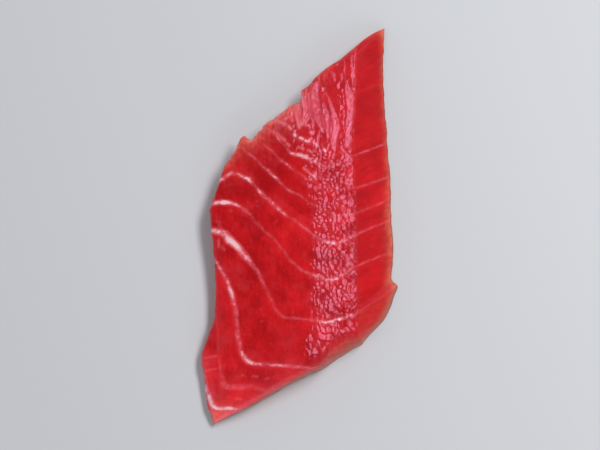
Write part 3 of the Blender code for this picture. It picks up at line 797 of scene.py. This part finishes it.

    # pale thin rims, painted light: glow of light let through them and highlights along the edges;
    # then stray marks and painted glints, and how much a place belongs to a side
    feather = ease(0.14, 0.26, s) * (1.0 - ease(0.64, 0.74, s))
    pale_top = ((1.10 * np.exp(-gap_far / 0.9) + 0.25 * np.exp(-gap_far / 2.2)) * feather
                + 0.35 * np.exp(-gap_far / 0.5)
                + 0.36 * np.exp(-gap_left / 0.30)
                + 0.12 * np.exp(-gap_right / 0.25)
                + 0.22 * np.exp(-(gap_left / 0.7) ** 2) * (1.0 - ease(0.10, 0.24, t))
                + 0.40 * np.exp(-gap_near / 0.35)
                + 0.9 * np.exp(-(np.hypot(s * 31.0, t * 54.0) / 3.2) ** 2))
    wall_len = np.linalg.norm(stop - start, axis=1)[None] * (1.0 - w)
    on_right = (rs > 0.999)[None] * (rt > 0.085)[None] + 0 * w
    on_facet = (rs > 0.999)[None] * (rt <= 0.085)[None] + 0 * w
    on_near = (rt < 0.001)[None] + 0 * w
    on_far = (rt > 0.999)[None] + 0 * w
    # painted glow: light let through the thin foot of the side below the ridge and round the far
    # tip
    foot_glow = 0.60 + 0.40 * (1.0 - ease(0.35, 0.60, rt))
    glow_width = (1.10 + 0.75 * (1.0 - ease(0.25, 0.60, rt)))[None]
    to_far_tip = np.hypot(sides[..., 0] - FOOT_TIP_FAR[0], sides[..., 1] - FOOT_TIP_FAR[1])
    pale_side = (on_right * (1.0 * foot_glow)[None] * np.exp(-(wall_len / glow_width) ** 1.5)
                 + on_right * 0.75 * np.exp(-(to_far_tip / 2.6) ** 2)
                 + on_facet * (0.40 * np.exp(-wall_len / 1.6) + 0.10)
                 + on_near * (0.38 * np.exp(-wall_len / 1.3) + 0.36)
                 + on_far * (0.18 + 0.3 * np.exp(-wall_len / 1.5)))
    pale = np.concatenate([pale_top, pale_side.ravel(), np.full(len(base), 0.15)])
    # the near side and the cut-off corner beside it are a little milkier: painted bounce light from
    # the floor
    flank = np.concatenate([np.zeros(n_top), (1.0 - 0.40 * on_near - 0.30 * on_facet).ravel(),
                            np.zeros(len(base))])
    # painted shadow: the thin lower edge at the near side is browned, as the shadowed floor seen
    # through the flesh
    near_edge_painted_shadow = ((on_near * (0.75 + 0.25 * ease(0.35, 0.60, rs))[None] + on_facet)
                * np.exp(-(wall_len / 2.4) ** 3))
    thin = np.concatenate([np.zeros(n_top), near_edge_painted_shadow.ravel(), np.full(len(base), 0.1)])
    torn = np.zeros(len(points))
    torn[:n_top] = (0.8 * ease(0.30, 0.54, s) * (1.0 - ease(0.80, 0.88, s))
                    * np.exp(-(gap_far / 3.3) ** 2)
                    + 0.04 * ease(8.0, 8.6, field["phase"]) * (1.0 - ease(0.15, 0.4, t - 0.16))
                    * (1.0 - ease(0.22, 0.38, s)))
    # pale marks of fat and fibre, and painted glints
    pale_mark_and_glint = np.zeros(len(points))
    for x0, y0, x1, y1, half_width, strength in PALE_MARKS_AND_GLINTS:
        ex, ey = x1 - x0, y1 - y0
        f = np.clip(((u - x0) * ex + (v - y0) * ey) / max(ex * ex + ey * ey, 1e-6), 0.0, 1.0)
        d = np.hypot(u - x0 - f * ex, v - y0 - f * ey)
        pale_mark_and_glint[:n_top] = np.maximum(pale_mark_and_glint[:n_top],
                                  strength * (1.0 - ease(0.1, 1.5, d / half_width)))
    # painted shade: the side below the ridge is darker towards the far end
    painted_side_shade = on_right * (0.87 + 0.21 * (1.0 - ease(0.10, 0.95, rt)))[None]
    other = 1.0 - on_right
    # painted light: the near tip and the left rim beside it are brightened
    tip = 1.0 + 0.15 * np.exp(-(np.hypot(s * 31.0, t * 54.0) / 9.0) ** 2)
    tip = tip + 0.10 * np.exp(-(gap_left / 3.0) ** 2) * (1.0 - ease(0.20, 0.40, t))
    painted_light_and_shade = np.concatenate([tip, (painted_side_shade + other * 1.02).ravel(),
                            np.full(len(base), 0.95)])
    marks["painted_light_and_shade"] = painted_light_and_shade
    marks["pale"] = np.clip(pale, 0.0, 1.2)
    marks["flank"] = flank
    marks["thin"] = np.clip(thin, 0.0, 1.0)
    marks["pale_mark_and_glint"] = pale_mark_and_glint
    marks["torn"] = torn
    marks["pale_fibres_and_sheen"] = np.concatenate([pale_fibres_and_sheen, np.zeros(len(points) - n_top)])

    # the plain form, centred as the CAD solid is, sets the place
    plain = np.vstack([top, foot])
    middle = (plain.min(0) + plain.max(0)) / 2
    target = (Vector(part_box(NODE)[0]) + Vector(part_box(NODE)[1])) / 2
    points[:, 0] += target.x / MM - middle[0]
    points[:, 1] += target.y / MM - middle[1]
    points[:, 2] = np.maximum(points[:, 2], 0.0)

    mesh = bpy.data.meshes.new("tuna_flesh_surface")
    quads = np.vstack(faces)
    n_quads, n_tris = len(quads), len(triangles)
    mesh.vertices.add(len(points))
    mesh.vertices.foreach_set("co", (points * MM).astype(np.float32).ravel())
    mesh.loops.add(n_quads * 4 + n_tris * 3)
    mesh.loops.foreach_set("vertex_index",
                           np.concatenate([quads.ravel(), triangles.ravel()]).astype(np.int32))
    mesh.polygons.add(n_quads + n_tris)
    starts = np.concatenate([np.arange(n_quads) * 4, n_quads * 4 + np.arange(n_tris) * 3])
    mesh.polygons.foreach_set("loop_start", starts.astype(np.int32))
    mesh.update(calc_edges=True)
    mesh.validate(verbose=False)
    mesh.shade_smooth()
    for name, values in marks.items():
        attribute = mesh.attributes.new(name, "FLOAT", "POINT")
        attribute.data.foreach_set("value", values.astype(np.float32))
    attribute = mesh.attributes.new("grain", "FLOAT_VECTOR", "POINT")
    attribute.data.foreach_set("vector", grain.astype(np.float32).ravel())
    return mesh


# --------------------------------------------------------------- the material
class Nodes:
    """Short names for building a node tree."""

    def __init__(self, tree):
        self.tree = tree

    def add(self, kind, **settings):
        node = self.tree.nodes.new(kind)
        for key, value in settings.items():
            setattr(node, key, value)
        return node

    def put(self, socket, value):
        if isinstance(value, bpy.types.NodeSocket):
            self.tree.links.new(value, socket)
        elif value is not None:
            socket.default_value = value

    def math(self, operation, a, b=None, c=None, clamp=False):
        node = self.add("ShaderNodeMath", operation=operation, use_clamp=clamp)
        for socket, value in zip(node.inputs, (a, b, c)):
            self.put(socket, value)
        return node.outputs[0]

    def vector(self, operation, a, b=None):
        node = self.add("ShaderNodeVectorMath", operation=operation)
        for socket, value in zip(node.inputs, (a, b)):
            self.put(socket, value)
        return node.outputs[0]

    def attribute(self, name):
        return self.add("ShaderNodeAttribute", attribute_type="GEOMETRY", attribute_name=name)

    def noise(self, vector, scale=1.0, detail=2.0, roughness=0.5, distortion=0.0):
        node = self.add("ShaderNodeTexNoise", noise_dimensions="3D")
        self.put(node.inputs["Vector"], vector)
        node.inputs["Scale"].default_value = scale
        node.inputs["Detail"].default_value = detail
        node.inputs["Roughness"].default_value = roughness
        node.inputs["Distortion"].default_value = distortion
        return node.outputs[0]

    def span(self, value, from_low, from_high, to_low=0.0, to_high=1.0, smooth=True):
        node = self.add("ShaderNodeMapRange",
                        interpolation_type="SMOOTHSTEP" if smooth else "LINEAR")
        for socket, v in zip(node.inputs, (value, from_low, from_high, to_low, to_high)):
            self.put(socket, v)
        return node.outputs[0]

    def combine(self, value):
        node = self.add("ShaderNodeCombineColor")
        for socket in list(node.inputs)[:3]:
            self.put(socket, value)
        return node.outputs[0]

    def multiplied(self, a, b):
        node = self.add("ShaderNodeMix", data_type="RGBA", blend_type="MULTIPLY")
        node.inputs[0].default_value = 1.0
        self.put(node.inputs[6], a)
        self.put(node.inputs[7], b)
        return node.outputs[2]

    def mix(self, factor, a, b):
        node = self.add("ShaderNodeMix", data_type="RGBA", clamp_factor=True)
        self.put(node.inputs[0], factor)
        self.put(node.inputs[6], a)
        self.put(node.inputs[7], b)
        return node.outputs[2]


def flesh_material():
    material = bpy.data.materials.new("raw_tuna_flesh")
    material.use_nodes = True
    tree = material.node_tree
    n = Nodes(tree)
    shader = tree.nodes["Principled BSDF"]

    grain = n.attribute("grain").outputs["Vector"]
    phase = n.attribute("phase").outputs["Fac"]
    pitch = n.attribute("pitch").outputs["Fac"]
    white = n.attribute("white").outputs["Fac"]
    girth = n.attribute("girth").outputs["Fac"]
    tone = n.attribute("tone").outputs["Fac"]
    pale = n.attribute("pale").outputs["Fac"]
    flank = n.attribute("flank").outputs["Fac"]

    thin = n.attribute("thin").outputs["Fac"]
    painted_light_and_shade = n.attribute("painted_light_and_shade").outputs["Fac"]
    pale_mark_and_glint = n.attribute("pale_mark_and_glint").outputs["Fac"]
    torn = n.attribute("torn").outputs["Fac"]
    pale_fibres_and_sheen = n.attribute("pale_fibres_and_sheen").outputs["Fac"]

    # distance to the nearest pale sheet, in millimetres, a little ragged
    step = n.math("ABSOLUTE", n.math("SUBTRACT", phase, n.math("ROUND", phase)))
    dist = n.math("MULTIPLY", step, pitch)
    fray = n.noise(grain, scale=1.9, detail=3.0, roughness=0.6)
    dist = n.math("ADD", dist, n.math("MULTIPLY", n.math("SUBTRACT", fray, 0.5), 0.42))
    beads = n.span(n.noise(grain, scale=0.75, detail=4.0, roughness=0.66), 0.36, 0.64, 0.30, 1.35)
    even = n.span(white, 0.85, 1.1, 0.0, 0.8)
    beads = n.math("ADD", n.math("MULTIPLY", beads, n.math("SUBTRACT", 1.0, even)),
                   n.math("MULTIPLY", even, 1.05))
    white = n.math("MULTIPLY", white, n.span(flank, 0.0, 1.0, 1.0, 1.25))
    white = n.math("MULTIPLY", n.math("POWER", white, 2.2), 0.95)
    core = n.span(dist, 0.0, n.math("MULTIPLY", girth, 1.15), 1.0, 0.0)
    fat = n.math("MULTIPLY", n.math("MULTIPLY", core, white), beads)
    fat = n.math("MAXIMUM", fat, n.math("POWER", pale_mark_and_glint, 2.0))
    halo = n.math("MULTIPLY", n.span(dist, 0.0, 1.3, 1.0, 0.0), white)

    # the red of the muscle
    stretch = n.vector("MULTIPLY", grain, (1.0, 0.22, 0.20))
    clouds = n.noise(grain, scale=0.16, detail=4.0, roughness=0.60)
    fibres = n.noise(stretch, scale=1.3, detail=4.0, roughness=0.65)
    specks = n.noise(grain, scale=2.2, detail=3.0, roughness=0.65)
    level = n.math("ADD", tone, n.math("MULTIPLY", n.math("SUBTRACT", clouds, 0.5), 2.0))
    level = n.math("ADD", level, n.math("MULTIPLY", n.math("SUBTRACT", fibres, 0.5), 1.0))
    # layers of muscle that run along the sheets
    along = n.add("ShaderNodeCombineXYZ")
    n.put(along.inputs[0], n.math("MULTIPLY", phase, 3.4))
    wander = n.noise(grain, scale=0.12, detail=2.0)
    n.put(along.inputs[1], n.math("MULTIPLY", wander, 4.0))
    layers = n.noise(along.outputs[0], scale=1.0, detail=3.0, roughness=0.6)
    layers = n.math("MULTIPLY", n.math("SUBTRACT", layers, 0.5),
                    n.span(flank, 0.0, 1.0, 0.9, 0.45))
    level = n.math("ADD", level, layers)
    level = n.math("ADD", level, n.math("MULTIPLY", n.math("SUBTRACT", specks, 0.5), 0.6),
                   clamp=True)
    red = n.mix(level, (0.415, 0.0045, 0.0055, 1), (0.735, 0.0140, 0.0180, 1))
    # painted sheen: soft milky patches, paler and pinker, stand in for a thin sheen of light on the
    # wet flesh
    painted_sheen_patches = n.span(n.noise(grain, scale=0.20, detail=5.0, roughness=0.62), 0.48, 0.72, 0.0, 0.42)
    painted_sheen_patches = n.math("MULTIPLY", painted_sheen_patches, n.span(flank, 0.0, 1.0, 1.0, 0.35))
    red = n.mix(painted_sheen_patches, red, (0.66, 0.040, 0.052, 1))
    red = n.mix(n.math("MULTIPLY", halo, 0.16), red, (0.80, 0.13, 0.16, 1))
    # pale marks and painted glints
    red = n.mix(pale_mark_and_glint, red, (0.80, 0.15, 0.18, 1))

    # pale torn fibres by the far rim
    threads = n.noise(n.vector("MULTIPLY", grain, (1.0, 0.30, 0.30)), scale=1.7, detail=3.0,
                      roughness=0.6)
    threads = n.math("MULTIPLY", n.span(threads, 0.46, 0.62, 0.0, 0.62), torn)
    red = n.mix(threads, red, (0.82, 0.20, 0.22, 1))
    # strands and fibre ends beside the ridge are a little paler than the rest: partly their own
    # paler colour, partly painted sheen
    red = n.mix(n.math("MULTIPLY", pale_fibres_and_sheen, 0.46), red, (0.72, 0.108, 0.165, 1))
    # the sides are a purer red
    red = n.mix(n.math("MULTIPLY", flank, 0.85), red, n.multiplied(red, (1.0, 0.40, 0.37, 1)))

    # stray flecks of fat
    fleck = n.add("ShaderNodeTexVoronoi", feature="F1")
    n.put(fleck.inputs["Vector"], grain)
    fleck.inputs["Scale"].default_value = 0.80
    fleck.inputs["Randomness"].default_value = 1.0
    chosen = n.math("FRACT", n.math("MULTIPLY", fleck.outputs["Color"], 7.3))
    chosen = n.math("GREATER_THAN", chosen, 0.55)
    dot = n.math("MULTIPLY", n.span(fleck.outputs["Distance"], 0.05, 0.30, 1.0, 0.0), chosen)
    red = n.mix(n.math("MULTIPLY", dot, 0.04), red, (0.84, 0.30, 0.33, 1))
    # painted light and shade: the red is scaled up at the near tip, down on the side below the
    # ridge and a little down on the underside
    dark = n.combine(painted_light_and_shade)
    red = n.multiplied(red, dark)

    # painted light: thin rims are painted paler, for the light let through them and the highlights
    # along them
    uneven = n.span(n.noise(grain, scale=0.9, detail=3.0), 0.30, 0.66, 0.40, 1.0)
    rim = n.math("MULTIPLY", pale, uneven)
    red = n.mix(n.math("MULTIPLY", rim, 0.78), red,
                n.mix(n.math("SUBTRACT", 1.0, flank), (0.82, 0.250, 0.150, 1),
                      (0.82, 0.225, 0.175, 1)))
    # painted shadow: the thin lower edge at the near side turns brown
    red = n.mix(n.math("MULTIPLY", thin, 0.75), red, (0.43, 0.175, 0.120, 1))

    pink = n.mix(n.math("MULTIPLY", fat, 1.9), red, (0.76, 0.115, 0.150, 1))
    colour = n.mix(n.span(fat, 0.38, 1.15, 0.0, 1.0), pink, (0.90, 0.580, 0.610, 1))
    n.put(shader.inputs["Base Color"], colour)

    # wet cut face, drier sides
    gloss = n.span(n.noise(grain, scale=1.1, detail=3.0), 0.3, 0.7, 0.17, 0.27)
    gloss = n.math("ADD", gloss, n.math("MULTIPLY", flank, 0.22))
    n.put(shader.inputs["Roughness"], gloss)

    # fibre grain too fine for the mesh
    small = n.noise(grain, scale=3.2, detail=3.0, roughness=0.65)
    small = n.math("MULTIPLY", small, n.span(pale_fibres_and_sheen, 0.0, 0.4, 1.0, 2.4))
    bump = n.add("ShaderNodeBump")
    bump.inputs["Strength"].default_value = 1.0
    bump.inputs["Distance"].default_value = 0.000010
    n.put(bump.inputs["Height"], small)
    n.put(shader.inputs["Normal"], bump.outputs["Normal"])

    shader.inputs["Metallic"].default_value = 0.0
    shader.inputs["IOR"].default_value = 1.40
    shader.inputs["Specular IOR Level"].default_value = 0.5
    shader.inputs["Specular Tint"].default_value = (0.90, 0.50, 0.78, 1.0)
    shader.inputs["Subsurface Weight"].default_value = 0.55
    shader.inputs["Subsurface Radius"].default_value = (1.0, 0.25, 0.20)
    shader.inputs["Subsurface Scale"].default_value = 0.0012
    return material


def plain_material(name, colour, roughness):
    material = bpy.data.materials.new(name)
    material.use_nodes = True
    n = Nodes(material.node_tree)
    shader = material.node_tree.nodes["Principled BSDF"]
    place = n.add("ShaderNodeTexCoord").outputs["Object"]
    cloud = n.noise(place, scale=3.0, detail=2.0)
    light = tuple(min(1.0, c * 1.012) for c in colour)
    dark = tuple(c * 0.988 for c in colour)
    n.put(shader.inputs["Base Color"], n.mix(cloud, dark + (1,), light + (1,)))
    shader.inputs["Roughness"].default_value = roughness
    shader.inputs["IOR"].default_value = 1.45
    return material


# ------------------------------------------------------------------ the scene
def make_floor():
    mesh = bpy.data.meshes.new("floor")
    ring = [(5.0 * math.cos(a), 5.0 * math.sin(a), -0.00004)
            for a in np.linspace(0.0, 2.0 * math.pi, 96, endpoint=False)]
    mesh.from_pydata(ring, [], [tuple(range(96))])
    floor = bpy.data.objects.new("floor", mesh)
    bpy.context.scene.collection.objects.link(floor)
    floor.data.materials.append(plain_material("pale_floor", (0.585, 0.595, 0.62), 0.45))
    return floor


def area_light(name, place, aim, size, radiance, colour=(1.0, 1.0, 1.0)):
    data = bpy.data.lights.new(name, "AREA")
    data.shape = "RECTANGLE"
    data.size, data.size_y = size
    data.energy = radiance * size[0] * size[1] * math.pi
    data.color = colour
    lamp = bpy.data.objects.new(name, data)
    lamp.location = place
    lamp.rotation_mode = "QUATERNION"
    lamp.rotation_quaternion = (Vector(aim) - Vector(place)).to_track_quat("-Z", "Y")
    lamp.visible_camera = False
    bpy.context.scene.collection.objects.link(lamp)
    return lamp


def make_world():
    world = bpy.data.worlds.new("soft_room")
    world.use_nodes = True
    n = Nodes(world.node_tree)
    background = world.node_tree.nodes["Background"]
    direction = n.add("ShaderNodeTexCoord").outputs["Generated"]
    split = n.add("ShaderNodeSeparateXYZ")
    n.put(split.inputs[0], direction)
    up = n.span(split.outputs[2], 0.05, 0.85, 0.0, 1.0)
    sky = n.mix(up, (0.62, 0.63, 0.65, 1), (0.16, 0.165, 0.175, 1))
    # the right wall of the room is darker
    wall = n.span(split.outputs[0], 0.35, 0.85, 0.0, 0.75)
    n.put(background.inputs["Color"], n.mix(wall, sky, (0.10, 0.10, 0.105, 1)))
    background.inputs["Strength"].default_value = 1.0
    bpy.context.scene.world = world


def make_camera():
    data = bpy.data.cameras.new("camera")
    data.sensor_width = 36.0
    distance, width = 1.2, 0.1323
    data.lens = 36.0 * distance / width
    data.clip_start, data.clip_end = 0.05, 20.0
    data.dof.use_dof = False
    camera = bpy.data.objects.new("camera", data)
    tilt = math.radians(72.0)
    back = Vector((0.0, -math.cos(tilt), math.sin(tilt)))
    camera.location = Vector((0.0, 0.0, 0.0)) + back * distance
    camera.rotation_mode = "QUATERNION"
    camera.rotation_quaternion = (-back).to_track_quat("-Z", "Y")
    bpy.context.scene.collection.objects.link(camera)
    bpy.context.scene.camera = camera


def main():
    bpy.context.scene.view_settings.view_transform = "Standard"
    make_camera()
    make_world()
    make_floor()
    # a long softbox up to the right and behind lights the lane by the ridge
    area_light("softbox", (0.345, 0.27, 0.60), (0.345, 0.27, 0.0), (0.225, 0.60), 12.0)
    area_light("fill_left", (-0.75, -0.25, 0.55), (0.0, 0.0, 0.0), (0.5, 0.5), 2.0)
    area_light("fill_front", (0.10, -0.85, 0.45), (0.0, 0.0, 0.0), (0.7, 0.4), 2.0)

    piece = bpy.data.objects.new("tuna_slice_flesh", build_slice())
    bpy.context.scene.collection.objects.link(piece)
    piece.data.materials.append(flesh_material())
    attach(piece, "root")
    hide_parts(NODE)


main()

bpy.context.view_layer.update()
